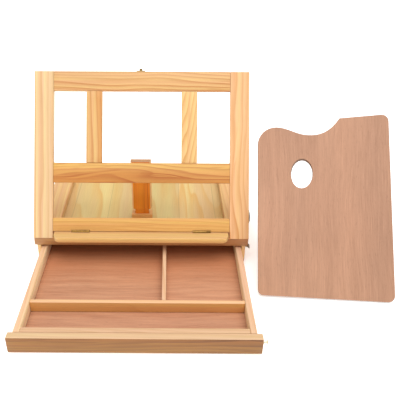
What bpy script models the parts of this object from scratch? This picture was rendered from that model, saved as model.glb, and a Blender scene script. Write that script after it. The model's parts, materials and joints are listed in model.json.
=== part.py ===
"""Table-top French box easel.

A shallow pine case holds a paint drawer. A lid frame is hinged at the case's front and stands on a prop,
a canvas ledge runs across the front, a carrying handle and a drawer hook sit on the right side, a draw
latch sits on the back, and a plywood palette stands beside the case.

Lengths are metres. X runs to the right, Y to the back, Z up. The origin is the middle of the underside.
"""
import math

import bmesh
import bpy
from mathutils import Matrix, Vector

# ---------------------------------------------------------------------------------------------
# Driving dimensions
# ---------------------------------------------------------------------------------------------
GAP = 0.0003                 # air between pieces that touch
EDGE = 0.0006                # chamfer on the boards

TOP_WIDTH = 0.340            # top frame and lid
CASE_WIDTH = 0.3324          # case body, set in under the top frame
CASE_DEPTH = 0.258
CASE_HEIGHT = 0.045
BASE_PLY = 0.004
PANEL_PLY = 0.003
PANEL_SET_BACK = 0.012       # panel behind the case's front face, clear of the drawer opening
SIDE_WALL = 0.006
BACK_WALL = 0.009
TOP_FRAME = 0.0138           # thickness of the top frame's strips and rails
STRIP_WIDTH = 0.0326
TOP_RAIL_DEPTH = 0.030

LID_OPEN = math.radians(59.0)
LID_THICK = 0.0092
HINGE_SET_BACK = 0.0045      # hinge axis behind the case's front face
LEAF_SPACE = 0.0022          # from the hinge axis to the board behind each leaf
STILE_WIDTH = 0.030
BOTTOM_RAIL_END = 0.0214     # distances along the lid are from the hinge axis
MIDDLE_RAIL = (0.0771, 0.1087)
TOP_RAIL = (0.2228, 0.2535)
MUNTIN_X = (0.0630, 0.0878)

LEDGE_HALF = 0.1373
LEDGE_FORWARD = 0.0135       # ledge in front of the case
LEDGE_CORNER = 0.011

HINGE_X = 0.0957
HINGE_WIDTH = 0.028
KNUCKLE_RADIUS = 0.0019
KNUCKLE_BORE = 0.0013
HINGE_PIN_RADIUS = 0.0010
LEAF_THICK = 0.0012
LEAF_NOTCH = 0.0022
LEAF_BOTTOM = 0.0088

PROP_X = -0.0020
PROP_WIDTH = 0.0330
PROP_THICK = 0.0090
PROP_LENGTH = 0.1100
PROP_SHOULDER = 0.0115
TONGUE_WIDTH = 0.0230
TONGUE_THICK = 0.0086
PROP_PIVOT_BACK = 0.086      # pivot behind the case's front face
PROP_PIVOT_DROP = 0.0090     # pivot below the top of the case
PROP_PIN_RADIUS = 0.0015
PROP_BORE = 0.0018
BLOCK_DEPTH = (0.0770, 0.0930)
BLOCK_WIDTH = 0.0350
BLOCK_FRONT_WALL = 0.0040
BLOCK_DROP = 0.0050          # top of the block below the top of the case

DRAWER_OUT = 0.1850          # drawer front's back face in front of the case
DRAWER_WIDTH = 0.3190
DRAWER_LENGTH = 0.2450
DRAWER_WALL = 0.0086
DRAWER_BOTTOM = 0.0046
DRAWER_PLY = 0.0030
DRAWER_TOP = 0.0273
DRAWER_FRONT_THICK = 0.0117
DRAWER_FRONT_LOW = 0.0016
DIVIDER_TOP = 0.0253
CROSS_DIVIDER = (0.0580, 0.0645)
LONG_DIVIDER_X = (0.0341, 0.0400)

HANDLE_SPAN = 0.118          # between the two eyes
HANDLE_Z = 0.0165
HANDLE_AXIS_X = 0.1700
HANDLE_WIRE = 0.0015
GRIP_HALF = 0.0430
EYE_RADIUS = 0.0031
EYE_BORE = 0.0019
EYE_HALF = 0.0030

HOOK_Z = 0.0180
HOOK_PIVOT_BACK = 0.0220     # hook screw behind the case's front face
HOOK_REACH = 0.0285          # hook screw to stud, drawer closed
HOOK_RAISED = math.radians(30.0)
HOOK_X = (0.1704, 0.1716)
STUD_SET_IN = 0.0060         # stud in front of the drawer front's back face

LATCH_X = -0.0020
LATCH_PIVOT_Z = 0.0300
LATCH_PIVOT_OUT = 0.0026     # lever pivot behind the latch plate
LOOP_DROP = 0.0035           # loop pivot below the lever pivot
LOOP_LENGTH = 0.0238

PALETTE_X = 0.1754
PALETTE_Y = -0.2140
PALETTE_TILT = math.radians(48.8)
PALETTE_TURN = math.radians(-2.9)
PALETTE_WIDTH = 0.2007
PALETTE_LENGTH = 0.2875      # right side
PALETTE_TOP_SLOPE = 0.10     # the top edge falls away to the left
PALETTE_PLY = 0.0035

# ---------------------------------------------------------------------------------------------
# Places worked out from the dimensions
# ---------------------------------------------------------------------------------------------
FRONT_Y = -CASE_DEPTH / 2
BACK_Y = CASE_DEPTH / 2
HALF_CASE = CASE_WIDTH / 2
HALF_TOP = TOP_WIDTH / 2
STRIP_Z = CASE_HEIGHT - TOP_FRAME
PANEL_Z = STRIP_Z - GAP - PANEL_PLY
WALL_Z = (BASE_PLY + GAP, STRIP_Z - GAP)

AXIS_Y = FRONT_Y + HINGE_SET_BACK
AXIS_Z = CASE_HEIGHT + GAP + LID_THICK
LID_INNER = HALF_TOP - STILE_WIDTH

PROP_PIVOT = Vector((PROP_X, FRONT_Y + PROP_PIVOT_BACK, CASE_HEIGHT - PROP_PIVOT_DROP))
HOOK_PIVOT = Vector((0.0, FRONT_Y + HOOK_PIVOT_BACK, HOOK_Z))
LATCH_PLATE_Y = BACK_Y + GAP
LATCH_PLATE_THICK = 0.0010
LATCH_PIVOT = Vector((LATCH_X, LATCH_PLATE_Y + LATCH_PLATE_THICK + LATCH_PIVOT_OUT, LATCH_PIVOT_Z))


def prop_angle():
    """Angle of the prop above the horizontal, resting on the middle rail's upper back edge."""
    edge_y = AXIS_Y + MIDDLE_RAIL[1] * math.cos(LID_OPEN) + LID_THICK * math.sin(LID_OPEN)
    edge_z = AXIS_Z + MIDDLE_RAIL[1] * math.sin(LID_OPEN) - LID_THICK * math.cos(LID_OPEN)
    back = PROP_PIVOT.y - edge_y
    up = edge_z - PROP_PIVOT.z
    clearance = PROP_THICK / 2 + 2 * GAP
    return math.pi / 2 + math.atan2(back, up) - math.asin(clearance / math.hypot(back, up))


# ---------------------------------------------------------------------------------------------
# Materials
# ---------------------------------------------------------------------------------------------
FINISHES = {
    "pale_pine": ((0.78, 0.52, 0.29), 0.50, 0.0),
    "golden_pine": ((0.76, 0.42, 0.17), 0.45, 0.0),
    "amber_pine": ((0.62, 0.27, 0.09), 0.45, 0.0),
    "plywood": ((0.62, 0.36, 0.24), 0.60, 0.0),
    "panel_ply": ((0.72, 0.54, 0.31), 0.55, 0.0),
    "palette_ply": ((0.59, 0.34, 0.22), 0.50, 0.0),
    "brass": ((0.48, 0.33, 0.12), 0.38, 1.0),
    "steel": ((0.42, 0.40, 0.37), 0.35, 1.0),
    "leather": ((0.09, 0.05, 0.035), 0.55, 0.0),
}


def make_materials():
    """One Principled material for each finish."""
    materials = {}
    for slot, (colour, roughness, metallic) in FINISHES.items():
        material = bpy.data.materials.new(slot)
        material.use_nodes = True
        shader = material.node_tree.nodes["Principled BSDF"]
        shader.inputs["Base Color"].default_value = (*colour, 1.0)
        shader.inputs["Roughness"].default_value = roughness
        shader.inputs["Metallic"].default_value = metallic
        materials[slot] = material
    return materials


# ---------------------------------------------------------------------------------------------
# Shapes
# ---------------------------------------------------------------------------------------------
def arc(centre, radius, start, end, steps):
    """Points on an arc, angles in degrees, both ends included."""
    points = []
    for step in range(steps + 1):
        angle = math.radians(start + (end - start) * step / steps)
        points.append((centre[0] + radius * math.cos(angle), centre[1] + radius * math.sin(angle)))
    return points


def circle(centre, radius, sides=24):
    """Points on a full circle."""
    return arc(centre, radius, 0.0, 360.0 * (sides - 1) / sides, sides - 1)


def lay_along(axis):
    """Matrix that turns a drawing's third direction onto an axis."""
    if axis == "X":
        return Matrix(((0, 0, 1, 0), (1, 0, 0, 0), (0, 1, 0, 0), (0, 0, 0, 1)))
    return Matrix.Identity(4)


def to_mesh(shape, name):
    """Closes a bmesh into a mesh with its faces pointing out."""
    bmesh.ops.recalc_face_normals(shape, faces=shape.faces[:])
    mesh = bpy.data.meshes.new(name)
    shape.to_mesh(mesh)
    shape.free()
    return mesh


def block_mesh(name, low, high):
    """A rectangular block between two corners."""
    shape = bmesh.new()
    bmesh.ops.create_cube(shape, size=1.0)
    size = [b - a for a, b in zip(low, high)]
    middle = [(a + b) / 2 for a, b in zip(low, high)]
    bmesh.ops.scale(shape, vec=size, verts=shape.verts[:])
    bmesh.ops.translate(shape, vec=middle, verts=shape.verts[:])
    return to_mesh(shape, name)


def plate_mesh(name, outline, start, end, axis="Z", holes=()):
    """An outline with holes, filled and extruded. Along X the outline is drawn in Y and Z."""
    shape = bmesh.new()
    for ring in (outline, *holes):
        corners = [shape.verts.new((u, v, start)) for u, v in ring]
        for first, second in zip(corners, corners[1:] + corners[:1]):
            shape.edges.new((first, second))
    bmesh.ops.triangle_fill(shape, use_beauty=True, edges=shape.edges[:])
    raised = bmesh.ops.extrude_face_region(shape, geom=shape.faces[:])
    far_side = [item for item in raised["geom"] if isinstance(item, bmesh.types.BMVert)]
    bmesh.ops.translate(shape, vec=(0.0, 0.0, end - start), verts=far_side)
    bmesh.ops.transform(shape, matrix=lay_along(axis), verts=shape.verts[:])
    return to_mesh(shape, name)


def rod_mesh(name, centre, radius, start, end, sides=24):
    """A round bar along X, its centre given in Y and Z."""
    return plate_mesh(name, circle(centre, radius, sides), start, end, axis="X")


def turned_mesh(name, profile, centre, sides=24):
    """A turned solid about a line along X. The profile lists (x, radius) from end to end."""
    shape = bmesh.new()
    points = [shape.verts.new((x, centre[0] + radius, centre[1])) for x, radius in profile]
    edges = [shape.edges.new(pair) for pair in zip(points, points[1:])]
    bmesh.ops.spin(
        shape, geom=points + edges, cent=(0.0, *centre), axis=(1.0, 0.0, 0.0),
        angle=2 * math.pi, steps=sides, use_merge=True,
    )
    bmesh.ops.remove_doubles(shape, verts=shape.verts[:], dist=0.000001)
    return to_mesh(shape, name)


# ---------------------------------------------------------------------------------------------
# Objects
# ---------------------------------------------------------------------------------------------
def pivot(name, place, tilt=0.0, turn=0.0):
    """An empty on a joint's axis, turned about X and then about Z."""
    empty = bpy.data.objects.new(name, None)
    empty.empty_display_size = 0.02
    empty.location = place
    empty.rotation_euler = (tilt, 0.0, turn)
    bpy.context.collection.objects.link(empty)
    return empty


def add(name, mesh, material, parent=None, smooth=False):
    """Puts a mesh or curve in the scene as one named piece."""
    piece = bpy.data.objects.new(name, mesh)
    bpy.context.collection.objects.link(piece)
    mesh.materials.append(material)
    piece.parent = parent
    if smooth:
        mesh.shade_smooth()
        mesh.set_sharp_from_angle(angle=math.radians(35))
    return piece


def board(name, low, high, material, parent=None, edge=EDGE):
    """A chamfered board between two corners."""
    piece = add(name, block_mesh(name, low, high), material, parent)
    chamfer(piece, edge)
    return piece


def chamfer(piece, width):
    """A one-step chamfer on the sharp edges."""
    modifier = piece.modifiers.new("chamfer", "BEVEL")
    modifier.width = width
    modifier.segments = 1
    modifier.limit_method = "ANGLE"
    modifier.angle_limit = math.radians(50)


def combine(piece, mesh, operation):
    """Joins a mesh to a piece, or cuts it out, with a Boolean and a hidden guide."""
    guide = bpy.data.objects.new(mesh.name, mesh)
    bpy.context.collection.objects.link(guide)
    guide.parent = piece.parent
    guide.hide_render = True
    guide.display_type = "WIRE"
    modifier = piece.modifiers.new(operation.lower(), "BOOLEAN")
    modifier.operation = operation
    modifier.object = guide


def tube(name, route, radius, material, parent=None, widths=None, resolution=3):
    """A round bar along a route of points, with closed ends."""
    curve = bpy.data.curves.new(name, "CURVE")
    curve.dimensions = "3D"
    curve.bevel_depth = radius
    curve.bevel_resolution = resolution
    curve.use_fill_caps = True
    spline = curve.splines.new("POLY")
    spline.points.add(len(route) - 1)
    for index, place in enumerate(route):
        spline.points[index].co = (*place, 1.0)
        spline.points[index].radius = 1.0 if widths is None else widths[index]
    spline.use_smooth = True
    piece = bpy.data.objects.new(name, curve)
    bpy.context.collection.objects.link(piece)
    curve.materials.append(material)
    piece.parent = parent
    return piece


def smooth_route(points, steps):
    """A Catmull-Rom curve through the points."""
    points = [Vector(point) for point in points]
    padded = [2 * points[0] - points[1], *points, 2 * points[-1] - points[-2]]
    route = []
    for a, b, c, d in zip(padded, padded[1:], padded[2:], padded[3:]):
        for step in range(steps):
            t = step / steps
            route.append(0.5 * (
                2 * b + (c - a) * t + (2 * a - 5 * b + 4 * c - d) * t ** 2 + (3 * b - a - 3 * c + d) * t ** 3
            ))
    route.append(points[-1])
    return route


def rounded_route(corners, radius, steps=4):
    """Straight runs through the corners, each inner corner rounded."""
    corners = [Vector(corner) for corner in corners]
    route = [corners[0]]
    for before, corner, after in zip(corners, corners[1:], corners[2:]):
        start = corner + (before - corner).normalized() * radius
        end = corner + (after - corner).normalized() * radius
        for step in range(steps + 1):
            t = step / steps
            route.append((1 - t) ** 2 * start + 2 * t * (1 - t) * corner + t ** 2 * end)
    route.append(corners[-1])
    return route


# ---------------------------------------------------------------------------------------------
# Case
# ---------------------------------------------------------------------------------------------
def build_case(finish):
    """Base, walls, inner panel and the frame of strips round the top."""
    inner = HALF_CASE - SIDE_WALL
    board("case_bottom", (-HALF_CASE, FRONT_Y, 0.0), (HALF_CASE, BACK_Y, BASE_PLY), finish["plywood"])
    for name, side in (("case_side_left", -1), ("case_side_right", 1)):
        x = sorted((side * inner, side * HALF_CASE))
        board(name, (x[0], FRONT_Y, WALL_Z[0]), (x[1], BACK_Y, WALL_Z[1]), finish["pale_pine"])
    board(
        "case_back", (-inner + GAP, BACK_Y - BACK_WALL, WALL_Z[0]), (inner - GAP, BACK_Y, WALL_Z[1]),
        finish["golden_pine"],
    )
    board(
        "top_panel", (-inner + GAP, FRONT_Y + PANEL_SET_BACK, PANEL_Z),
        (inner - GAP, BACK_Y - BACK_WALL - GAP, PANEL_Z + PANEL_PLY), finish["panel_ply"],
    )
    strip_front = FRONT_Y + TOP_RAIL_DEPTH
    strip_back = BACK_Y - TOP_RAIL_DEPTH
    for name, side in (("top_strip_left", -1), ("top_strip_right", 1)):
        x = sorted((side * (HALF_TOP - STRIP_WIDTH), side * HALF_TOP))
        board(
            name, (x[0], strip_front + GAP, STRIP_Z), (x[1], strip_back - GAP, CASE_HEIGHT),
            finish["pale_pine"],
        )
    for name, y in (("top_rail_front", (FRONT_Y, strip_front)), ("top_rail_back", (strip_back, BACK_Y))):
        board(name, (-HALF_TOP, y[0], STRIP_Z), (HALF_TOP, y[1], CASE_HEIGHT), finish["golden_pine"])


def build_ledge(finish):
    """Canvas ledge on the front rail, its front corners rounded."""
    front = FRONT_Y - LEDGE_FORWARD
    back = AXIS_Y - LEAF_SPACE
    centre_x = LEDGE_HALF - LEDGE_CORNER
    centre_y = front + LEDGE_CORNER
    outline = [(LEDGE_HALF, back), (-LEDGE_HALF, back)]
    outline += arc((-centre_x, centre_y), LEDGE_CORNER, 180, 270, 6)
    outline += arc((centre_x, centre_y), LEDGE_CORNER, 270, 360, 6)
    mesh = plate_mesh("canvas_ledge", outline, CASE_HEIGHT + GAP, AXIS_Z)
    chamfer(add("canvas_ledge", mesh, finish["golden_pine"]), EDGE)


# ---------------------------------------------------------------------------------------------
# Lid frame and its hinges
# ---------------------------------------------------------------------------------------------
def stile_outline():
    """Side view of a stile. Its toe is rounded about the hinge axis, then flat where it stands open."""
    top = TOP_RAIL[1]
    open_degrees = math.degrees(LID_OPEN)
    outline = [(-LID_THICK / math.sin(LID_OPEN), 0.0), (top, 0.0), (top, -LID_THICK)]
    outline += arc((0.0, 0.0), LID_THICK, 270, 270 - open_degrees, 8)
    return outline


def build_lid(finish, lid):
    """Stiles, rails and muntins, drawn as the lid lies closed and turned up by its pivot."""
    for name, side in (("stile_left", -1), ("stile_right", 1)):
        x = sorted((side * LID_INNER, side * HALF_TOP))
        mesh = plate_mesh(name, stile_outline(), x[0], x[1], axis="X")
        chamfer(add(name, mesh, finish["pale_pine"], lid), EDGE)
    rails = (
        ("rail_bottom", LEAF_SPACE, BOTTOM_RAIL_END, "golden_pine"),
        ("rail_middle", *MIDDLE_RAIL, "amber_pine"),
        ("rail_top", *TOP_RAIL, "golden_pine"),
    )
    half = LID_INNER - GAP
    for name, low, high, slot in rails:
        board(name, (-half, low, -LID_THICK), (half, high, 0.0), finish[slot], lid)
    for name, side in (("muntin_left", -1), ("muntin_right", 1)):
        x = sorted((side * MUNTIN_X[0], side * MUNTIN_X[1]))
        board(
            name, (x[0], MIDDLE_RAIL[1] + GAP, -LID_THICK), (x[1], TOP_RAIL[0] - GAP, 0.0),
            finish["pale_pine"], lid,
        )


def knuckle_mesh(name, side, start, end):
    """One hinge knuckle with the neck that joins it to its leaf, bored for the pin."""
    inner = 0.00075
    outer = 0.00185
    first = math.degrees(math.atan2(-math.sqrt(KNUCKLE_RADIUS ** 2 - outer ** 2), outer))
    last = 360 + math.degrees(math.atan2(-math.sqrt(KNUCKLE_RADIUS ** 2 - inner ** 2), inner))
    neck = -LEAF_NOTCH - 0.0004
    outline = arc((0.0, 0.0), KNUCKLE_RADIUS, first, last, 18) + [(inner, neck), (outer, neck)]
    outline = [(side * y, z) for y, z in outline]
    return plate_mesh(name, outline, start, end, axis="X", holes=[circle((0.0, 0.0), KNUCKLE_BORE, 16)])


def build_leaf(name, side, x, knuckles, material, parent):
    """A hinge leaf with its knuckles. side is -1 for the leaf on the ledge, 1 for the leaf on the lid."""
    y = sorted((side * (LEAF_SPACE - GAP), side * (LEAF_SPACE - GAP - LEAF_THICK)))
    half = HINGE_WIDTH / 2
    mesh = block_mesh(name, (x - half, y[0], -LEAF_BOTTOM), (x + half, y[1], -LEAF_NOTCH))
    leaf = add(name, mesh, material, parent, smooth=True)
    for number, (start, end) in enumerate(knuckles):
        knuckle = knuckle_mesh(f"{name}_knuckle_{number}", side, x + start, x + end)
        combine(leaf, knuckle, "UNION")


def build_hinges(finish, lid, axis):
    """Two butt hinges between the ledge's back edge and the lid's bottom rail."""
    half = HINGE_WIDTH / 2
    third = HINGE_WIDTH / 6
    fixed = ((-half, -third - GAP / 2), (third + GAP / 2, half))
    moving = ((-third + GAP / 2, third - GAP / 2),)
    for label, x in (("left", -HINGE_X), ("right", HINGE_X)):
        build_leaf(f"hinge_leaf_fixed_{label}", -1, x, fixed, finish["brass"], axis)
        build_leaf(f"hinge_leaf_lid_{label}", 1, x, moving, finish["brass"], lid)
        name = f"hinge_pin_{label}"
        pin = rod_mesh(name, (0.0, 0.0), HINGE_PIN_RADIUS, x - half, x + half, 16)
        add(name, pin, finish["steel"], axis, smooth=True)


# ---------------------------------------------------------------------------------------------
# Prop
# ---------------------------------------------------------------------------------------------
def build_prop(finish, prop):
    """Prop with a tongue, its pin, and the slotted block that holds it on the panel."""
    board(
        "prop", (-PROP_WIDTH / 2, PROP_SHOULDER, -PROP_THICK / 2),
        (PROP_WIDTH / 2, PROP_LENGTH, PROP_THICK / 2), finish["amber_pine"], prop, edge=0.0024,
    )
    radius = TONGUE_THICK / 2
    overlap = PROP_SHOULDER + 0.004
    outline = arc((0.0, 0.0), radius, 90, 270, 12) + [(overlap, -radius), (overlap, radius)]
    tongue = plate_mesh(
        "prop_tongue", outline, -TONGUE_WIDTH / 2, TONGUE_WIDTH / 2, axis="X",
        holes=[circle((0.0, 0.0), PROP_BORE, 16)],
    )
    combine(bpy.data.objects["prop"], tongue, "UNION")

    low_y = FRONT_Y + BLOCK_DEPTH[0]
    high_y = FRONT_Y + BLOCK_DEPTH[1]
    half = BLOCK_WIDTH / 2
    slot = TONGUE_WIDTH / 2 + GAP
    outline = [
        (-half, low_y), (half, low_y), (half, high_y), (slot, high_y),
        (slot, low_y + BLOCK_FRONT_WALL), (-slot, low_y + BLOCK_FRONT_WALL), (-slot, high_y), (-half, high_y),
    ]
    outline = [(PROP_X + x, y) for x, y in outline]
    mesh = plate_mesh("prop_block", outline, STRIP_Z, CASE_HEIGHT - BLOCK_DROP)
    block = add("prop_block", mesh, finish["pale_pine"])
    centre = (PROP_PIVOT.y, PROP_PIVOT.z)
    bore = rod_mesh("prop_block_bore", centre, PROP_BORE, PROP_X - 0.02, PROP_X + 0.02, 16)
    combine(block, bore, "DIFFERENCE")
    pin = rod_mesh("prop_pin", centre, PROP_PIN_RADIUS, PROP_X - half, PROP_X + half, 16)
    add("prop_pin", pin, finish["steel"], smooth=True)


# ---------------------------------------------------------------------------------------------
# Drawer
# ---------------------------------------------------------------------------------------------
def build_drawer(finish, drawer):
    """Drawer box, overlay front and dividers. The drawer's zero is the back face of its front."""
    outer = DRAWER_WIDTH / 2
    inner = outer - DRAWER_WALL
    wall_low = DRAWER_BOTTOM + DRAWER_PLY + GAP
    pine = finish["pale_pine"]
    board(
        "drawer_front", (-HALF_CASE, -DRAWER_FRONT_THICK, DRAWER_FRONT_LOW), (HALF_CASE, 0.0, DRAWER_TOP),
        finish["golden_pine"], drawer,
    )
    board(
        "drawer_floor", (-outer, GAP, DRAWER_BOTTOM), (outer, DRAWER_LENGTH, DRAWER_BOTTOM + DRAWER_PLY),
        finish["plywood"], drawer, edge=0.0003,
    )
    for name, side in (("drawer_side_left", -1), ("drawer_side_right", 1)):
        x = sorted((side * inner, side * outer))
        board(name, (x[0], GAP, wall_low), (x[1], DRAWER_LENGTH, DRAWER_TOP), pine, drawer)
    within = inner - GAP
    board("drawer_inner_front", (-within, GAP, wall_low), (within, DRAWER_WALL, DRAWER_TOP), pine, drawer)
    back = DRAWER_LENGTH - DRAWER_WALL
    board("drawer_back", (-within, back, wall_low), (within, DRAWER_LENGTH, DRAWER_TOP), pine, drawer)
    board(
        "divider_cross", (-within, CROSS_DIVIDER[0], wall_low), (within, CROSS_DIVIDER[1], DIVIDER_TOP),
        finish["golden_pine"], drawer,
    )
    board(
        "divider_long", (LONG_DIVIDER_X[0], CROSS_DIVIDER[1] + GAP, wall_low),
        (LONG_DIVIDER_X[1], back - GAP, DIVIDER_TOP), pine, drawer,
    )
    start = HALF_CASE + GAP
    profile = (
        (start, 0.0), (start, 0.0030), (start + 0.0010, 0.0030), (start + 0.0014, 0.0015),
        (HOOK_X[1] + 0.0003, 0.0015), (HOOK_X[1] + 0.0003, 0.0028), (HOOK_X[1] + 0.0010, 0.0028),
        (HOOK_X[1] + 0.0014, 0.0018), (HOOK_X[1] + 0.0014, 0.0),
    )
    stud = turned_mesh("drawer_stud", profile, (-STUD_SET_IN, HOOK_Z))
    add("drawer_stud", stud, finish["brass"], drawer, smooth=True)


# ---------------------------------------------------------------------------------------------
# Carrying handle on the right side
# ---------------------------------------------------------------------------------------------
def build_handle(finish, handle):
    """Two screwed eyes, a wire end through each, and a bowed grip between the wires."""
    plate_x = (HALF_CASE + GAP, HALF_CASE + GAP + 0.0012)
    for label, side in (("front", -1), ("back", 1)):
        y = side * HANDLE_SPAN / 2
        name = f"handle_eye_{label}"
        outline = [(y - 0.005, 0.0090), (y + 0.005, 0.0090), (y + 0.005, 0.0240), (y - 0.005, 0.0240)]
        eye = add(name, plate_mesh(name, outline, *plate_x, axis="X"), finish["brass"], smooth=True)
        ring = plate_mesh(
            f"{name}_ring", circle((HANDLE_AXIS_X, HANDLE_Z), EYE_RADIUS), -EYE_HALF, EYE_HALF,
            holes=[circle((HANDLE_AXIS_X, HANDLE_Z), EYE_BORE, 16)],
        )
        stand = Matrix(((1, 0, 0, 0), (0, 0, -1, y), (0, 1, 0, 0), (0, 0, 0, 1)))
        ring.transform(stand)
        combine(eye, ring, "UNION")
        for place, height in (("lower", 0.0111), ("upper", 0.0219)):
            start = plate_x[1] + GAP
            profile = ((start, 0.0), (start, 0.0015), (start + 0.0004, 0.0014), (start + 0.0009, 0.0))
            name = f"handle_screw_{label}_{place}"
            add(name, turned_mesh(name, profile, (y, height), 12), finish["brass"], smooth=True)

    half_route = [
        (0.0, 0.0645), (0.0, 0.0600), (0.0, 0.0552), (0.0026, 0.0506), (0.0070, 0.0464), (0.0108, 0.0413),
        (0.0134, 0.0330), (0.0148, 0.0210), (0.0154, 0.0100), (0.0155, 0.0),
    ]
    points = [(x, -y, 0.0) for x, y in half_route] + [(x, y, 0.0) for x, y in half_route[-2::-1]]
    route = smooth_route(points, 5)
    front = [place for place in route if place.y < -GRIP_HALF - GAP]
    back = [place for place in route if place.y > GRIP_HALF + GAP]
    grip = [place for place in route if abs(place.y) <= GRIP_HALF]
    widths = [1.0 + 0.35 * math.cos(place.y / GRIP_HALF * math.pi / 2) for place in grip]
    tube("handle_wire_front", front, HANDLE_WIRE, finish["brass"], handle)
    tube("handle_wire_back", back, HANDLE_WIRE, finish["brass"], handle)
    tube("handle_grip", grip, 0.0033, finish["leather"], handle, widths, resolution=4)


# ---------------------------------------------------------------------------------------------
# Drawer hook on the right side
# ---------------------------------------------------------------------------------------------
def build_hook(finish, hook):
    """A flat hook that drops over the drawer's stud, and the screw that it turns on."""
    reach = HOOK_REACH
    outline = arc((0.0, 0.0), 0.0045, 35, 325, 14)
    outline += [(reach - 0.0046, -0.0026), (reach - 0.0019, -0.0026)]
    outline += arc((reach, 0.0), 0.0019, 180, 0, 8)
    outline += [(reach + 0.0019, -0.0026), (reach + 0.0048, -0.0026), (reach + 0.0052, 0.0014)]
    outline += [(reach + 0.0020, 0.0042), (reach - 0.0030, 0.0040), (reach - 0.0080, 0.0026)]
    outline = [(-forward, up) for forward, up in outline]
    mesh = plate_mesh("drawer_hook", outline, *HOOK_X, axis="X", holes=[circle((0.0, 0.0), 0.0015, 16)])
    add("drawer_hook", mesh, finish["steel"], hook, smooth=True)
    start = HALF_CASE + GAP
    profile = (
        (start, 0.0), (start, 0.0048), (start + 0.0008, 0.0048), (start + 0.0012, 0.0026),
        (HOOK_X[0] - 0.0003, 0.0026), (HOOK_X[0] - 0.0003, 0.0012), (HOOK_X[1] + 0.0003, 0.0012),
        (HOOK_X[1] + 0.0003, 0.0030), (HOOK_X[1] + 0.0009, 0.0028), (HOOK_X[1] + 0.0014, 0.0),
    )
    screw = turned_mesh("drawer_hook_screw", profile, (HOOK_PIVOT.y, HOOK_PIVOT.z))
    add("drawer_hook_screw", screw, finish["brass"], smooth=True)


# ---------------------------------------------------------------------------------------------
# Draw latch on the back
# ---------------------------------------------------------------------------------------------
def build_latch(finish, lever, loop, lid):
    """Plate with ears, pin, lever and wire loop on the case, and the catch on the lid's top edge."""
    plate_y = (LATCH_PLATE_Y, LATCH_PLATE_Y + LATCH_PLATE_THICK)
    low, high = (LATCH_X - 0.0065, plate_y[0], 0.0105), (LATCH_X + 0.0065, plate_y[1], 0.0405)
    mesh = block_mesh("latch_plate", low, high)
    plate = add("latch_plate", mesh, finish["brass"], smooth=True)
    centre = (LATCH_PIVOT.y, LATCH_PIVOT.z)
    root = plate_y[0] + 0.0003
    for label, side in (("left", -1), ("right", 1)):
        outline = arc(centre, 0.0020, -90, 90, 10)
        outline += [(root, centre[1] + 0.0020), (root, centre[1] - 0.0020)]
        x = sorted((LATCH_X + side * 0.0039, LATCH_X + side * 0.0049))
        ear = plate_mesh(f"latch_ear_{label}", outline, *x, axis="X", holes=[circle(centre, 0.0013, 16)])
        combine(plate, ear, "UNION")
        start = plate_y[1] + GAP
        name = f"latch_screw_{label}"
        profile = ((start, 0.0), (start, 0.0014), (start + 0.0004, 0.0013), (start + 0.0009, 0.0))
        screw = turned_mesh(name, profile, (0.0, 0.0), 12)
        screw_x = LATCH_X + side * 0.0042
        screw.transform(Matrix(((0, 1, 0, screw_x), (1, 0, 0, 0), (0, 0, -1, 0.0370), (0, 0, 0, 1))))
        add(name, screw, finish["brass"], smooth=True)
    pin = rod_mesh("latch_pin", centre, 0.0010, LATCH_X - 0.0053, LATCH_X + 0.0053, 16)
    add("latch_pin", pin, finish["steel"], smooth=True)

    outline = arc((0.0, 0.0), 0.0021, 180, 0, 10)
    outline += [(0.0022, -0.0050), (0.0016, -0.0080), (0.0016, -0.0150), (0.0034, -0.0178)]
    outline += [(0.0022, -0.0190), (-0.0004, -0.0160), (-0.0012, -0.0080), (-0.0018, -0.0050)]
    holes = [circle((0.0, 0.0), 0.0013, 16), circle((0.0004, -LOOP_DROP), 0.0010, 12)]
    body = plate_mesh("latch_lever", outline, -0.0035, 0.0035, axis="X", holes=holes)
    add("latch_lever", body, finish["brass"], lever, smooth=True)

    wire = 0.0007
    half = 0.0062
    corners = [
        (-0.0008, 0.0, 0.0), (-half, 0.0, 0.0), (-half, 0.0, -LOOP_LENGTH),
        (half, 0.0, -LOOP_LENGTH), (half, 0.0, 0.0), (0.0008, 0.0, 0.0),
    ]
    tube("latch_loop", rounded_route(corners, 0.0016), wire, finish["steel"], loop, resolution=2)

    start = TOP_RAIL[1] + GAP
    end = start + 0.0010
    mesh = block_mesh("lid_catch", (LATCH_X - 0.0065, start, -0.0085), (LATCH_X + 0.0065, end, -0.0010))
    catch = add("lid_catch", mesh, finish["brass"], lid)
    hook_outline = [
        (end - 0.0005, -0.0064), (end + 0.0038, -0.0064), (end + 0.0038, -0.0028),
        (end + 0.0027, -0.0028), (end + 0.0027, -0.0052), (end - 0.0005, -0.0052),
    ]
    lip = plate_mesh("lid_catch_lip", hook_outline, LATCH_X - 0.0023, LATCH_X + 0.0023, axis="X")
    combine(catch, lip, "UNION")


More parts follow.
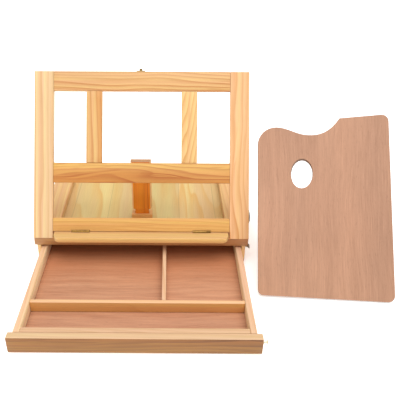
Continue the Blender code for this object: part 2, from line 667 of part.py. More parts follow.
# ---------------------------------------------------------------------------------------------
# Palette
# ---------------------------------------------------------------------------------------------
def palette_outline():
    """Board with rounded corners, a rounded lobe at the upper left and a hollow for the fingers."""
    width = PALETTE_WIDTH
    corner = 0.010
    small = 0.008
    outline = arc((small + 0.001, small + 0.003), small, 180, 270, 5)
    outline += arc((width - corner, corner), corner, 270, 360, 5)
    fall = math.degrees(math.atan(PALETTE_TOP_SLOPE))
    outline += arc((width - corner, PALETTE_LENGTH - corner), corner, 0, 90 + fall, 5)
    hollow_right = 0.1253
    hollow_middle = 0.0760
    hollow_height = 0.2513
    rise = PALETTE_LENGTH - PALETTE_TOP_SLOPE * (width - hollow_right) - hollow_height
    steps = 8
    for step in range(steps + 1):
        t = 1.0 - step / steps
        x = hollow_middle + (hollow_right - hollow_middle) * t
        outline.append((x, hollow_height + rise * t ** 2.6))
    lobe = 0.0278
    lobe_radius = 0.0290
    lobe_height = 0.2625
    for step in range(1, steps + 1):
        t = step / steps
        x = hollow_middle + (lobe - hollow_middle) * t
        drop = (lobe_height - hollow_height) * (1.0 + math.cos(math.pi * t)) / 2
        outline.append((x, lobe_height - drop))
    outline += arc((lobe, lobe_height - lobe_radius), lobe_radius, 90, 180, 8)[1:]
    return outline


def thumb_hole():
    """Oval thumb hole, leaning a little to the right."""
    lean = math.radians(-4.5)
    hole = []
    for x, y in circle((0.0, 0.0), 1.0, 32):
        x *= 0.0163
        y *= 0.0224
        hole.append((
            0.0662 + x * math.cos(lean) - y * math.sin(lean),
            0.1897 + x * math.sin(lean) + y * math.cos(lean),
        ))
    return hole


def build_palette(finish, foot):
    """Plywood palette, drawn flat and stood up on its lower edge."""
    mesh = plate_mesh("palette", palette_outline(), 0.0, PALETTE_PLY, holes=[thumb_hole()])
    add("palette", mesh, finish["palette_ply"], foot)


# ---------------------------------------------------------------------------------------------
# Assembly
# ---------------------------------------------------------------------------------------------
def main():
    """Clears the scene and builds every piece."""
    for leftover in list(bpy.data.objects):
        bpy.data.objects.remove(leftover, do_unlink=True)
    finish = make_materials()
    hinge_axis = pivot("hinge_axis", (0.0, AXIS_Y, AXIS_Z))
    lid = pivot("lid_pivot", (0.0, AXIS_Y, AXIS_Z), LID_OPEN)
    prop = pivot("prop_pivot", PROP_PIVOT, prop_angle())
    drawer = pivot("drawer_slide", (0.0, FRONT_Y - DRAWER_OUT, 0.0))
    handle = pivot("handle_pivot", (HANDLE_AXIS_X, 0.0, HANDLE_Z))
    hook = pivot("hook_pivot", HOOK_PIVOT, -HOOK_RAISED)
    lever = pivot("lever_pivot", LATCH_PIVOT)
    loop = pivot("loop_pivot", LATCH_PIVOT + Vector((0.0, 0.0004, -LOOP_DROP)))
    foot = pivot("palette_foot", (PALETTE_X, PALETTE_Y, 0.0), PALETTE_TILT, PALETTE_TURN)
    build_case(finish)
    build_ledge(finish)
    build_lid(finish, lid)
    build_hinges(finish, lid, hinge_axis)
    build_prop(finish, prop)
    build_drawer(finish, drawer)
    build_handle(finish, handle)
    build_hook(finish, hook)
    build_latch(finish, lever, loop, lid)
    build_palette(finish, foot)


main()
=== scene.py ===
"""Looks for the table-top French box easel.

Every board is rebuilt with rounded edges and a solid wood grain that runs along it, the hardware gets worn
metal, and the carrying handle gets a wrapped grip. Lengths are metres, in the CAD model's frame.
"""
import json
import math

import bmesh
import bpy
from mathutils import Matrix, Vector, noise


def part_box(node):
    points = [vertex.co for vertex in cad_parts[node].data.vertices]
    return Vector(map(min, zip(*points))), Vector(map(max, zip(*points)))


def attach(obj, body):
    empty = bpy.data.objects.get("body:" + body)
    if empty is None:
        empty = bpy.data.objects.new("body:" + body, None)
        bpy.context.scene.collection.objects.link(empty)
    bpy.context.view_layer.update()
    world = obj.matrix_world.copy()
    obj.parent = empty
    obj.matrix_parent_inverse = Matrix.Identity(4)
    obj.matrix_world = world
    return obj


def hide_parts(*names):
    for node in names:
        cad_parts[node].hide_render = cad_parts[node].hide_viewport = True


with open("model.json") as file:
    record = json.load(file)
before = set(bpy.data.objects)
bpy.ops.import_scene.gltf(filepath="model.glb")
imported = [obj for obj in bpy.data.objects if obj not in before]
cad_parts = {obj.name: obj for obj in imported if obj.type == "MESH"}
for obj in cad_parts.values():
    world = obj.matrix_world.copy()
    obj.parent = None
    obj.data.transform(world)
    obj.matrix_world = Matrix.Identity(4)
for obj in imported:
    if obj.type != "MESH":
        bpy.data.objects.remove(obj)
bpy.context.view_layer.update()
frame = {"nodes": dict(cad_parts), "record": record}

RECORD = frame["record"]
BODY = {node: body for body, nodes in RECORD["behaviour"]["bodies"].items() for node in nodes}
SLOT = {part["node"]: part["material_slot"] for part in RECORD["subparts"]}
JOINT = {joint["name"]: joint for joint in RECORD["behaviour"]["joints"]}

# ---------------------------------------------------------------------------------------------
# Frames in which the tilted bodies lie flat
# ---------------------------------------------------------------------------------------------
# The palette stands on its lower edge, turned a little and leaning back from flat by its tilt
PALETTE_TILT = math.radians(48.8)
PALETTE_TURN = math.radians(-2.9)
PALETTE_FOOT = (0.1754, -0.2140, 0.0)
PALETTE_PLY = 0.0035
# The middle of the thumb hole, in the palette's own frame
THUMB_HOLE = Vector((0.0662, 0.1897, 0.0))


def folded(joint):
    """The place of a body that its joint turns down by its whole range."""
    opening = math.radians(JOINT[joint]["range_deg"][1])
    return Matrix.Translation(JOINT[joint]["pos_m"]) @ Matrix.Rotation(opening, 4, "X")


def palette_frame():
    """The palette's lower left corner, its X along the lower edge and its Y up the board."""
    turned = Matrix.Rotation(PALETTE_TURN, 4, "Z") @ Matrix.Rotation(PALETTE_TILT, 4, "X")
    return Matrix.Translation(PALETTE_FOOT) @ turned


LEVEL = Matrix.Identity(4)
UNMOVED = (0.0, 0.0, 0.0)
LID = folded("lid_fold")
PROP = folded("prop_fold")
PALETTE = palette_frame()


# ---------------------------------------------------------------------------------------------
# Texture numbers. A scale is in repeats per metre: along the grain, across it, through the board
# ---------------------------------------------------------------------------------------------
PINE_DRIFT = (5.0, 22.0, 22.0)
PINE_UNEVEN = (1.5, 55.0, 55.0)
PINE_STRENGTH = (3.0, 40.0, 40.0)
PINE_FIBRE = (22.0, 1300.0, 1300.0)
PINE_DUCT = (60.0, 1900.0, 1900.0)
PINE_TONE = (2.5, 16.0, 16.0)
PINE_LINE = (2.2, 260.0, 260.0)
PINE_STREAK_ALONG = 1.4
# The most that noise moves the rings, in rings, and the gain of the thin lines
RING_STRAY = 1.6
LINE_GAIN = 1.6
# How dark one ring is from its start to the next: pale early wood, then the dark late edge
RING_BAND = [(0.0, 0.10), (0.10, 0.0), (0.55, 0.30), (0.84, 0.85), (0.93, 1.0), (1.0, 0.10)]
# Shares of the base colour in the two soft tints that streak the early wood
HONEY = (0.99, 1.02, 0.84)
BLUSH = (0.97, 0.87, 0.84)
# What the late wood loses of red, green and blue
LATE_LOSS = (0.20, 0.42, 0.62)
# The heart colour's share, how far its edge wavers, and half of that
HEART_SHARE = 0.85
HEART_WAVER = 0.010
HEART_MIDDLE = 0.005
# Glued boards: their darkest and lightest tone, where the line at a joint begins and ends to fade, in shares
# of a board's width, and how dark it is
PLANK_TONE = (0.90, 1.05)
PLANK_JOINT = (0.004, 0.012)
JOINT_DARK = 0.78
# Fibres from dark to light, how dark a duct is and how much of it shows
PINE_FIBRE_TONE = (0.92, 1.05)
DUCT_DARK = 0.45
DUCT_SHARE = 0.28

VENEER_DRIFT = (4.0, 9.0, 1.0)
VENEER_PATCHES = (5.0, 7.0, 1.0)
VENEER_CLOUD = (2.6, 9.0, 1.0)
VENEER_FIBRE = (30.0, 1100.0, 20.0)
VENEER_PORE = (110.0, 1700.0, 30.0)
VENEER_END_GRAIN = (700.0, 700.0, 90.0)
# How far the bands stray across the grain, and how much of the board's depth the figure follows
VENEER_STRAY = 0.030
VENEER_THROUGH = 0.02
# The most that each tone takes of the colour under it
RED_SHARE = 0.35
# One of these tones is painted shade: the darker, redder tone of the drawer floor towards the case
PAINTED_SHADE_SHARE = 0.45
PORE_SHARE = 0.45
GLUE_SHARE = 0.6
VENEER_FIBRE_TONE = (0.86, 1.09)
# The layers of the ply from its lower to its upper face: the core's and the two glue lines' shares
PLY_CORE = [(0.0, 0.0), (0.24, 0.0), (0.30, 1.0), (0.70, 1.0), (0.76, 0.0), (1.0, 0.0)]
PLY_GLUE = [(0.0, 0.0), (0.22, 0.0), (0.26, 1.0), (0.30, 0.0), (0.70, 0.0), (0.74, 1.0), (0.78, 0.0)]

# Metal and leather are drawn in the piece's own X, Y and Z
METAL_SCALE = 90.0
METAL_SPECKLED = 0.5
LEATHER_PEBBLE = (1500.0, 1100.0, 1500.0)
LEATHER_FOLD = (500.0, 90.0, 500.0)
LEATHER_RUB = (120.0, 60.0, 120.0)

# Roughness of each finish, from its dull to its smooth places, and the depth of its bump
PINE_ROUGH = (0.56, 0.42)
VENEER_ROUGH = (0.66, 0.50)
LEATHER_ROUGH = (0.62, 0.38)
FLOOR_ROUGH = (0.85, 0.90)
PINE_BUMP = 0.00006
VENEER_BUMP = 0.00005
METAL_BUMP = 0.00002
LEATHER_BUMP = 0.00012
FLOOR_BUMP = 0.0001


def scaled(colour, share):
    """A colour made darker or lighter."""
    return tuple(channel * share for channel in colour)


def tinted(colour, shares):
    """A colour with its red, green and blue scaled one by one."""
    return tuple(channel * share for channel, share in zip(colour, shares))


def deeper(colour, depth=1.0):
    """The darker, more orange wood of the late rings."""
    return tinted(colour, tuple(1.0 - depth * loss for loss in LATE_LOSS))


# ---------------------------------------------------------------------------------------------
# Material nodes
# ---------------------------------------------------------------------------------------------
class Graph:
    """A material and short ways to add nodes to it."""

    def __init__(self, name):
        self.material = bpy.data.materials.new(name)
        self.material.use_nodes = True
        self.tree = self.material.node_tree
        self.shader = self.tree.nodes["Principled BSDF"]

    def plug(self, socket, value):
        """Links a socket or sets a plain value."""
        if isinstance(value, bpy.types.NodeSocket):
            self.tree.links.new(value, socket)
        else:
            socket.default_value = value

    def math(self, operation, first, second=0.0, third=0.0):
        """One Math node."""
        node = self.tree.nodes.new("ShaderNodeMath")
        node.operation = operation
        for socket, value in zip(node.inputs, (first, second, third)):
            self.plug(socket, value)
        return node.outputs[0]

    def vector(self, operation, first, second):
        """One Vector Math node."""
        node = self.tree.nodes.new("ShaderNodeVectorMath")
        node.operation = operation
        self.plug(node.inputs[0], first)
        self.plug(node.inputs[1], second)
        return node.outputs[0]

    def noise(self, place, scale, detail, roughness=0.5, colour=False):
        """Noise that can be stretched: scale is one number for each axis."""
        node = self.tree.nodes.new("ShaderNodeTexNoise")
        self.plug(node.inputs["Vector"], self.vector("MULTIPLY", place, scale))
        node.inputs["Scale"].default_value = 1.0
        node.inputs["Detail"].default_value = detail
        node.inputs["Roughness"].default_value = roughness
        return node.outputs["Color" if colour else "Fac"]

    def ramp(self, factor, stops):
        """A grey ramp through (place, level) stops."""
        node = self.tree.nodes.new("ShaderNodeValToRGB")
        elements = node.color_ramp.elements
        while len(elements) < len(stops):
            elements.new(0.5)
        for element, (place, level) in zip(elements, stops):
            element.position = place
            element.color = (level, level, level, 1.0)
        self.plug(node.inputs[0], factor)
        return node.outputs[0]

    def spread(self, value, low, high, new_low=0.0, new_high=1.0):
        """Maps one range of numbers onto another, clamped."""
        node = self.tree.nodes.new("ShaderNodeMapRange")
        for socket, number in zip(node.inputs, (value, low, high, new_low, new_high)):
            self.plug(socket, number)
        return node.outputs[0]

    def mix(self, factor, first, second):
        """One colour mix."""
        node = self.tree.nodes.new("ShaderNodeMix")
        node.data_type = "RGBA"
        self.plug(node.inputs[0], factor)
        for socket, value in ((node.inputs[6], first), (node.inputs[7], second)):
            if isinstance(value, tuple) and len(value) == 3:
                value = (*value, 1.0)
            self.plug(socket, value)
        return node.outputs[2]

    def brighten(self, colour, factor):
        """Multiplies a colour by a number socket."""
        node = self.tree.nodes.new("ShaderNodeVectorMath")
        node.operation = "SCALE"
        self.plug(node.inputs[0], colour)
        self.plug(node.inputs["Scale"], factor)
        return node.outputs[0]

    def grain(self):
        """The place in the timber: X along the grain, Z through the board."""
        node = self.tree.nodes.new("ShaderNodeAttribute")
        node.attribute_name = "grain_at"
        return node.outputs["Vector"]

    def split(self, place):
        """X, Y and Z of a vector."""
        node = self.tree.nodes.new("ShaderNodeSeparateXYZ")
        self.plug(node.inputs[0], place)
        return node.outputs

    def finish(self, colour, roughness, height, depth):
        """Feeds the shader, with a bump of the given depth."""
        self.plug(self.shader.inputs["Base Color"], colour)
        self.plug(self.shader.inputs["Roughness"], roughness)
        bump = self.tree.nodes.new("ShaderNodeBump")
        bump.inputs["Distance"].default_value = depth
        bump.inputs["Strength"].default_value = 1.0
        self.plug(bump.inputs["Height"], height)
        self.plug(self.shader.inputs["Normal"], bump.outputs[0])
        return self.material


def pine(
    name, early, late, ring, contrast, pith=(0.030, -0.045), slope=0.05, wander=0.006, shade=0.10, heart=None,
    plank=0.0, streaks=130.0, lines=0.35,
):
    """Pine cut from rings round a pith that runs along the board.

    ring is the spacing of the rings and contrast how dark their late wood is. pith is how far the board lies
    from their centre, across and through, slope how fast it runs off sideways, and wander how far the grain
    strays. shade is how uneven the board's tone is. heart is a deeper colour that fades in across the board:
    where it starts, where it is full, and the colour. plank is the width of the boards where several are
    glued side by side. streaks is how closely the soft streaks lie, and lines how strong the thin dark lines
    between the rings are.
    """
    graph = Graph(name)
    place = graph.grain()

    # Rings
    drift = graph.vector("SUBTRACT", graph.noise(place, PINE_DRIFT, 1.5, colour=True), (0.5, 0.5, 0.5))
    drift = graph.vector("MULTIPLY", drift, (0.0, wander * 2, wander * 2))
    along, across, through = graph.split(graph.vector("ADD", place, drift))[:3]
    off_y = graph.math("ADD", across, graph.math("MULTIPLY_ADD", along, slope, pith[0]))
    off_z = graph.math("ADD", through, pith[1])
    squares = graph.math("ADD", graph.math("POWER", off_y, 2.0), graph.math("POWER", off_z, 2.0))
    radius = graph.math("SQRT", squares)
    uneven = graph.noise(place, PINE_UNEVEN, 1.0)
    phase = graph.math("ADD", graph.math("DIVIDE", radius, ring), graph.math("MULTIPLY", uneven, RING_STRAY))
    band = graph.ramp(graph.math("FRACT", phase), RING_BAND)
    strength = graph.spread(graph.noise(place, PINE_STRENGTH, 2.0), 0.30, 0.70, 0.35, 1.0)
    late_share = graph.math("MULTIPLY", graph.math("MULTIPLY", band, strength), contrast)

    # Fibres, resin ducts, broad tone, soft streaks and thin dark lines
    fibre = graph.noise(place, PINE_FIBRE, 3.0, 0.6)
    duct = graph.spread(graph.noise(place, PINE_DUCT, 1.0), 0.71, 0.80)
    tone = graph.noise(place, PINE_TONE, 2.0)
    streak = graph.spread(graph.noise(place, (PINE_STREAK_ALONG, streaks, streaks), 2.0), 0.38, 0.62)
    line = graph.spread(graph.noise(graph.vector("ADD", place, drift), PINE_LINE, 1.5), 0.55, 0.68)
    line = graph.math("MULTIPLY", graph.math("MULTIPLY", line, uneven), lines * LINE_GAIN)

    # Colour, from the early wood down to the ducts
    colour = graph.mix(streak, tinted(early, HONEY), tinted(early, BLUSH))
    if heart:
        start, full, deep = heart
        edge = graph.math("MULTIPLY_ADD", strength, HEART_WAVER, across)
        share = graph.spread(edge, start + HEART_MIDDLE, full + HEART_MIDDLE)
        colour = graph.mix(graph.math("MULTIPLY", share, HEART_SHARE), colour, deep)
    colour = graph.mix(graph.math("MAXIMUM", late_share, line), colour, late)
    if plank:
        over = graph.math("DIVIDE", graph.split(place)[1], plank)
        chance = graph.tree.nodes.new("ShaderNodeTexWhiteNoise")
        chance.noise_dimensions = "1D"
        graph.plug(chance.inputs["W"], graph.math("FLOOR", over))
        colour = graph.brighten(colour, graph.spread(chance.outputs["Value"], 0.0, 1.0, *PLANK_TONE))
        joint_line = graph.spread(graph.math("PINGPONG", over, 0.5), *PLANK_JOINT, JOINT_DARK, 1.0)
        colour = graph.brighten(colour, joint_line)
    colour = graph.brighten(colour, graph.spread(tone, 0.25, 0.75, 1.0 - shade, 1.0 + shade * 0.6))
    colour = graph.brighten(colour, graph.spread(fibre, 0.30, 0.70, *PINE_FIBRE_TONE))
    colour = graph.mix(graph.math("MULTIPLY", duct, DUCT_SHARE), colour, scaled(late, DUCT_DARK))

    # Late wood and fibres are smoother and stand higher than the ducts
    sheen = graph.math("ADD", fibre, graph.math("MULTIPLY", band, 0.3))
    roughness = graph.spread(sheen, 0.3, 1.0, *PINE_ROUGH)
    height = graph.math("SUBTRACT", graph.math("ADD", fibre, graph.math("MULTIPLY", band, 0.6)), duct)
    return graph.finish(colour, roughness, height, PINE_BUMP)


def veneer(name, light, dark, red, wave, figure=0.55, ply=0.003, cloud=(0.90, 1.06), painted_shade=None):
    """Rotary-cut plywood: drifting bands, fine fibres, short pores and layered edges.

    wave is how closely the bands lie along and across the grain, figure how strong they are, and ply the
    sheet's thickness. cloud is how dark and light the broad patches are. painted_shade is painted shade, a
    darker and redder tone that comes in across the sheet: where it starts, where it is full, and the colour.
    """
    graph = Graph(name)
    place = graph.grain()

    # The figure of the faces, which hardly changes through the sheet
    drift = graph.vector("SUBTRACT", graph.noise(place, VENEER_DRIFT, 2.0, colour=True), (0.5, 0.5, 0.5))
    moved = graph.vector("ADD", place, graph.vector("MULTIPLY", drift, (0.0, VENEER_STRAY, 0.0)))
    flat = graph.vector("MULTIPLY", moved, (1.0, 1.0, VENEER_THROUGH))
    bands = graph.noise(flat, (wave[0], wave[1], 1.0), 3.0, 0.55)
    lines = graph.noise(flat, (wave[0] * 3.0, wave[1] * 6.0, 1.0), 2.0, 0.6)
    patches = graph.noise(flat, VENEER_PATCHES, 2.0)
    fibre = graph.noise(flat, VENEER_FIBRE, 3.0, 0.6)
    pore = graph.spread(graph.noise(flat, VENEER_PORE, 1.0), 0.64, 0.76)
    share = graph.spread(graph.math("ADD", bands, graph.math("MULTIPLY", lines, 0.6)), 0.60, 1.0)
    colour = graph.mix(graph.math("MULTIPLY", share, figure), light, dark)
    colour = graph.mix(graph.spread(patches, 0.35, 0.75, 0.0, RED_SHARE), colour, red)
    colour = graph.brighten(colour, graph.spread(fibre, 0.30, 0.70, *VENEER_FIBRE_TONE))
    # Painted shade: the sheet turns darker and redder across it, towards the case where the ledge shades the
    # drawer floor
    if painted_shade:
        start, full, deep = painted_shade
        colour = graph.mix(graph.spread(graph.split(flat)[1], start, full, 0.0, PAINTED_SHADE_SHARE), colour, deep)
    colour = graph.brighten(colour, graph.spread(graph.noise(flat, VENEER_CLOUD, 2.0), 0.3, 0.7, *cloud))
    colour = graph.mix(graph.math("MULTIPLY", pore, PORE_SHARE), colour, scaled(dark, 0.45))

    # The layers that show on the edges
    depth = graph.math("DIVIDE", graph.split(place)[2], ply)
    core = graph.ramp(depth, PLY_CORE)
    glue = graph.ramp(depth, PLY_GLUE)
    end_grain = graph.noise(place, VENEER_END_GRAIN, 2.0)
    inside = graph.mix(graph.spread(end_grain, 0.3, 0.7), scaled(light, 1.15), scaled(dark, 0.8))
    colour = graph.mix(core, colour, inside)
    colour = graph.mix(graph.math("MULTIPLY", glue, GLUE_SHARE), colour, scaled(dark, 0.35))

    roughness = graph.spread(fibre, 0.3, 0.7, *VENEER_ROUGH)
    height = graph.math("SUBTRACT", fibre, graph.math("MULTIPLY", pore, 1.2))
    return graph.finish(colour, roughness, height, VENEER_BUMP)


def metal(name, bright, dull, tarnish, low, high):
    """Plated metal with tarnish, fine scratches and a polish that goes from low to high roughness."""
    graph = Graph(name)
    place = graph.tree.nodes.new("ShaderNodeTexCoord").outputs["Object"]
    cloud = graph.noise(place, (METAL_SCALE,) * 3, 4.0, 0.6)
    speck = graph.spread(graph.noise(place, (METAL_SCALE * 9,) * 3, 2.0), 0.58, 0.75)
    scratch = graph.noise(place, (METAL_SCALE * 2, METAL_SCALE * 30, METAL_SCALE * 22), 2.0, 0.7)
    colour = graph.mix(graph.spread(cloud, 0.35, 0.65), dull, bright)
    colour = graph.mix(graph.math("MULTIPLY", speck, METAL_SPECKLED), colour, tarnish)
    graph.shader.inputs["Metallic"].default_value = 1.0
    polish = graph.math("ADD", cloud, graph.math("MULTIPLY", scratch, 0.4))
    roughness = graph.spread(polish, 0.4, 0.9, high, low)
    height = graph.math("ADD", graph.math("MULTIPLY", scratch, 0.5), speck)
    return graph.finish(colour, roughness, height, METAL_BUMP)


def leather(name, base, crease, rub):
    """Dark wrapped leather: pebbled grain, creases and rubbed high spots."""
    graph = Graph(name)
    place = graph.tree.nodes.new("ShaderNodeTexCoord").outputs["Object"]
    cells = graph.tree.nodes.new("ShaderNodeTexVoronoi")
    cells.feature = "F1"
    graph.plug(cells.inputs["Vector"], graph.vector("MULTIPLY", place, LEATHER_PEBBLE))
    cells.inputs["Scale"].default_value = 1.0
    pebble = cells.outputs["Distance"]
    fold = graph.noise(place, LEATHER_FOLD, 3.0, 0.6)
    rubbed = graph.spread(graph.noise(place, LEATHER_RUB, 3.0), 0.5, 0.75)
    colour = graph.mix(graph.spread(pebble, 0.2, 0.8), base, crease)
    colour = graph.mix(graph.math("MULTIPLY", rubbed, 0.55), colour, rub)
    roughness = graph.spread(rubbed, 0.0, 1.0, *LEATHER_ROUGH)
    height = graph.math("SUBTRACT", graph.math("MULTIPLY", fold, 0.8), pebble)
    return graph.finish(colour, roughness, height, LEATHER_BUMP)


def painted_floor(name):
    """Plain pale studio floor with the least unevenness and a faint glow that softens the shadows."""
    graph = Graph(name)
    place = graph.tree.nodes.new("ShaderNodeTexCoord").outputs["Object"]
    cloud = graph.noise(place, (1.5, 1.5, 1.5), 2.0)
    colour = graph.mix(cloud, (0.93, 0.93, 0.93), (0.96, 0.96, 0.96))
    graph.shader.inputs["Emission Color"].default_value = (1.0, 1.0, 1.0, 1.0)
    graph.shader.inputs["Emission Strength"].default_value = FLOOR_GLOW
    return graph.finish(colour, graph.spread(cloud, 0.0, 1.0, *FLOOR_ROUGH), cloud, FLOOR_BUMP)


# ---------------------------------------------------------------------------------------------
# Timber
# ---------------------------------------------------------------------------------------------
# How squarely a face has to look one way: FACING takes in the middle of the rounded edge, FLAT_ON leaves it
# out, and below SQUARE_ON a face slopes
FACING = 0.7
FLAT_ON = 0.8
SQUARE_ON = 0.95

# Edge roundings. A bevelled shape rounds only the edges that turn by more than the angle
BOARD_EDGE = 0.0008
SHAPE_EDGE = 0.0003
METAL_EDGE = 0.00015
ROUNDING_STEPS = 3
METAL_ROUNDING_STEPS = 2
SHAPE_EDGE_ANGLE = math.radians(28)
METAL_EDGE_ANGLE = math.radians(40)
# Edges that turn by more than this, in degrees, stay sharp in the shading
BOARD_SHARP = 35.0
GRIP_SHARP = 50.0
STITCH_SHARP = 60.0

# Planed boards are cut across at this spacing, so that wear can pull their surface in by a hair
CUT_SPACING = 0.012
BOARD_WEAR = 0.00012
CUT_BOARD_WEAR = 0.00010
WEAR_SCALE = 55
FACE_WEAR = 0.3
CORNER_WEAR = 2.0

# Clean-up of shapes: points this close are one, faces this level are one
WELD = 0.000005
SPIN_WELD = 0.000001
LEVEL_ANGLE = math.radians(0.5)

# The ledge and the bottom rail, with room for the hinges between them
LEDGE_CORNER = 0.011
LEDGE_CORNER_STEPS = 8
LEDGE_EDGE = 0.0012
AXIS_GAP = 0.0004
HINGE_GAP = 0.0006

# The prop in its folded frame
PROP_HALF_WIDTH = 0.0165
PROP_LENGTH = 0.1100
PROP_HALF_THICK = 0.0045
PROP_CHAMFER = 0.003
PROP_FOOT = 0.0110

# The thumb hole's reach, how far its upper and lower rims open, and how far the lower one moves over
THUMB_REACH = 0.030
UPPER_FLARE = (0.03, 0.04)
LOWER_FLARE = 0.02
LOWER_MOVE = (0.0008, -0.0012)


def facing_up(normal):
    """The upper face of a board."""
    return normal.z > FACING


def facing_front(normal):
    """The face towards the front of the case."""
    return normal.y < -FACING


def sideways(normal):
    """Side faces, left and right."""
    return abs(normal.x) > FLAT_ON


def sloping(normal):
    """A chamfer."""
    return max(abs(value) for value in normal) < SQUARE_ON


def far_end(normal):
    """The end of a board drawn along Y."""
    return normal.y > FACING


def round_the_edge(normal):
    """The narrow faces of a board that lies flat."""
    return abs(normal.z) < FACING


def assign(shape, others):
    """Gives each face the first of the other materials whose test it passes."""
    for face in shape.faces:
        face.material_index = 0
        for number, (test, _) in enumerate(others):
            if test(face.normal):
                face.material_index = number + 1
                break


def lay_grain(mesh, along, shift):
    """Writes the grain coordinate of every corner: the axis along the grain first, then a shift."""
    order = {"X": (0, 1, 2), "Y": (1, 0, 2)}[along]
    layer = mesh.attributes.new("grain_at", "FLOAT_VECTOR", "POINT")
    values = []
    for vertex in mesh.vertices:
        place = [vertex.co[axis] for axis in order]
        values.extend(a + b for a, b in zip(place, shift))
    layer.data.foreach_set("vector", values)


def made(shape, name):
    """The mesh of a finished shape."""
    mesh = bpy.data.meshes.new(name)
    shape.to_mesh(mesh)
    shape.free()
    return mesh


def put(name, node, mesh, place, material, sharp=BOARD_SHARP):
    """Adds a detailed piece in a node's stead."""
    piece = bpy.data.objects.new(name, mesh)
    bpy.context.scene.collection.objects.link(piece)
    mesh.materials.append(material)
    mesh.shade_smooth()
    mesh.set_sharp_from_angle(angle=math.radians(sharp))
    piece.matrix_world = place
    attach(piece, BODY[node])
    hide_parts(node)
    return piece


def put_wooden(shape, name, node, along, material, place, shift, others):
    """Adds a finished shape as a piece with its grain. Some of its faces can take other materials."""
    assign(shape, others)
    mesh = made(shape, name)
    lay_grain(mesh, along, shift)
    piece = put(name, node, mesh, place, material)
    for _, other in others:
        mesh.materials.append(other)
    return piece


def round_edges(piece, width, steps, angle):
    """Adds a bevel along the edges that turn by more than the angle."""
    bevel = piece.modifiers.new("rounding", "BEVEL")
    bevel.width = width
    bevel.segments = steps
    bevel.limit_method = "ANGLE"
    bevel.angle_limit = angle


def local_box(node, place):
    """Lowest and highest corner of a node in a body's folded frame."""
    back = place.inverted()
    corners = [back @ vertex.co for vertex in frame["nodes"][node].data.vertices]
    low = Vector([min(corner[axis] for corner in corners) for axis in range(3)])
    high = Vector([max(corner[axis] for corner in corners) for axis in range(3)])
    return low, high


def planed(shape, node, along, material, place, edge, worn, shift, others):
    """Rounds a plain solid's edges, wears them a little, and puts it in the scene."""
    bmesh.ops.bevel(
        shape, geom=shape.edges[:], offset=edge, offset_type="OFFSET", segments=ROUNDING_STEPS, profile=0.5,
        affect="EDGES", clamp_overlap=True,
    )
    axis = "XYZ".index(along)
    start = min(vertex.co[axis] for vertex in shape.verts)
    length = max(vertex.co[axis] for vertex in shape.verts) - start
    normal = Vector([1.0 if number == axis else 0.0 for number in range(3)])
    cuts = max(2, int(length / CUT_SPACING))
    for number in range(1, cuts):
        bmesh.ops.bisect_plane(
            shape, geom=shape.verts[:] + shape.edges[:] + shape.faces[:],
            plane_co=normal * (start + length * number / cuts), plane_no=normal,
        )
    shape.normal_update()
    # Each board is worn by a part of the noise of its own
    seed = Vector((len(node) * 3.1, start * 40, length * 40))
    for vertex in shape.verts:
        wear = 0.5 + 0.5 * noise.noise(vertex.co * WEAR_SCALE + seed)
        corner = 1.0 - max(abs(value) for value in vertex.normal)
        vertex.co -= vertex.normal * worn * wear * (FACE_WEAR + CORNER_WEAR * corner)
    put_wooden(shape, node + "_board", node, along, material, place, shift, others)


def board(node, along, material, place=LEVEL, *, shift, edge=BOARD_EDGE, others=()):
    """A planed board with rounded, slightly uneven edges. Some of its faces can take other materials."""
    low, high = local_box(node, place)
    shape = bmesh.new()
    bmesh.ops.create_cube(shape, size=1.0)
    bmesh.ops.scale(shape, vec=high - low, verts=shape.verts[:])
    bmesh.ops.translate(shape, vec=(low + high) / 2, verts=shape.verts[:])
    planed(shape, node, along, material, place, edge, BOARD_WEAR, shift, others)


def cut_board(node, outline, along, material, place=LEVEL, *, edge, shift=UNMOVED, others=()):
    """A board of the node's thickness with an outline of its own."""
    low, high = local_box(node, place)
    shape = bmesh.new()
    face = shape.faces.new([shape.verts.new((x, y, low.z)) for x, y in outline])
    raised = bmesh.ops.extrude_face_region(shape, geom=[face])
    top = [item for item in raised["geom"] if isinstance(item, bmesh.types.BMVert)]
    bmesh.ops.translate(shape, vec=(0.0, 0.0, high.z - low.z), verts=top)
    bmesh.ops.recalc_face_normals(shape, faces=shape.faces[:])
    planed(shape, node, along, material, place, edge, CUT_BOARD_WEAR, shift, others)


def shaped(node, along, material, place=LEVEL, *, edge=SHAPE_EDGE, shift=UNMOVED, others=(), adjust=None):
    """A node's own shape with its edges rounded. Some of its faces can take other materials."""
    back = place.inverted()
    shape = bmesh.new()
    shape.from_mesh(frame["nodes"][node].data)
    bmesh.ops.transform(shape, matrix=back, verts=shape.verts[:])
    if adjust:
        for vertex in shape.verts:
            adjust(vertex.co)
    bmesh.ops.remove_doubles(shape, verts=shape.verts[:], dist=WELD)
    bmesh.ops.dissolve_degenerate(shape, dist=WELD, edges=shape.edges[:])
    bmesh.ops.dissolve_limit(
        shape, angle_limit=LEVEL_ANGLE, verts=shape.verts[:], edges=shape.edges[:], delimit={"NORMAL"}
    )
    shape.normal_update()
    piece = put_wooden(shape, node + "_shape", node, along, material, place, shift, others)
    round_edges(piece, edge, ROUNDING_STEPS, SHAPE_EDGE_ANGLE)


def hinge_notches(y, inner_y, reach):
    """Points along an edge at y that steps back to inner_y at both hinges, from left to right."""
    points = []
    for label in ("left", "right"):
        low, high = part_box("hinge_pin_" + label)
        left, right = low[0] - HINGE_GAP, high[0] + HINGE_GAP
        points += [(left, y), (left, inner_y), (right, inner_y), (right, y)]
    return [(-reach, y), *points, (reach, y)]


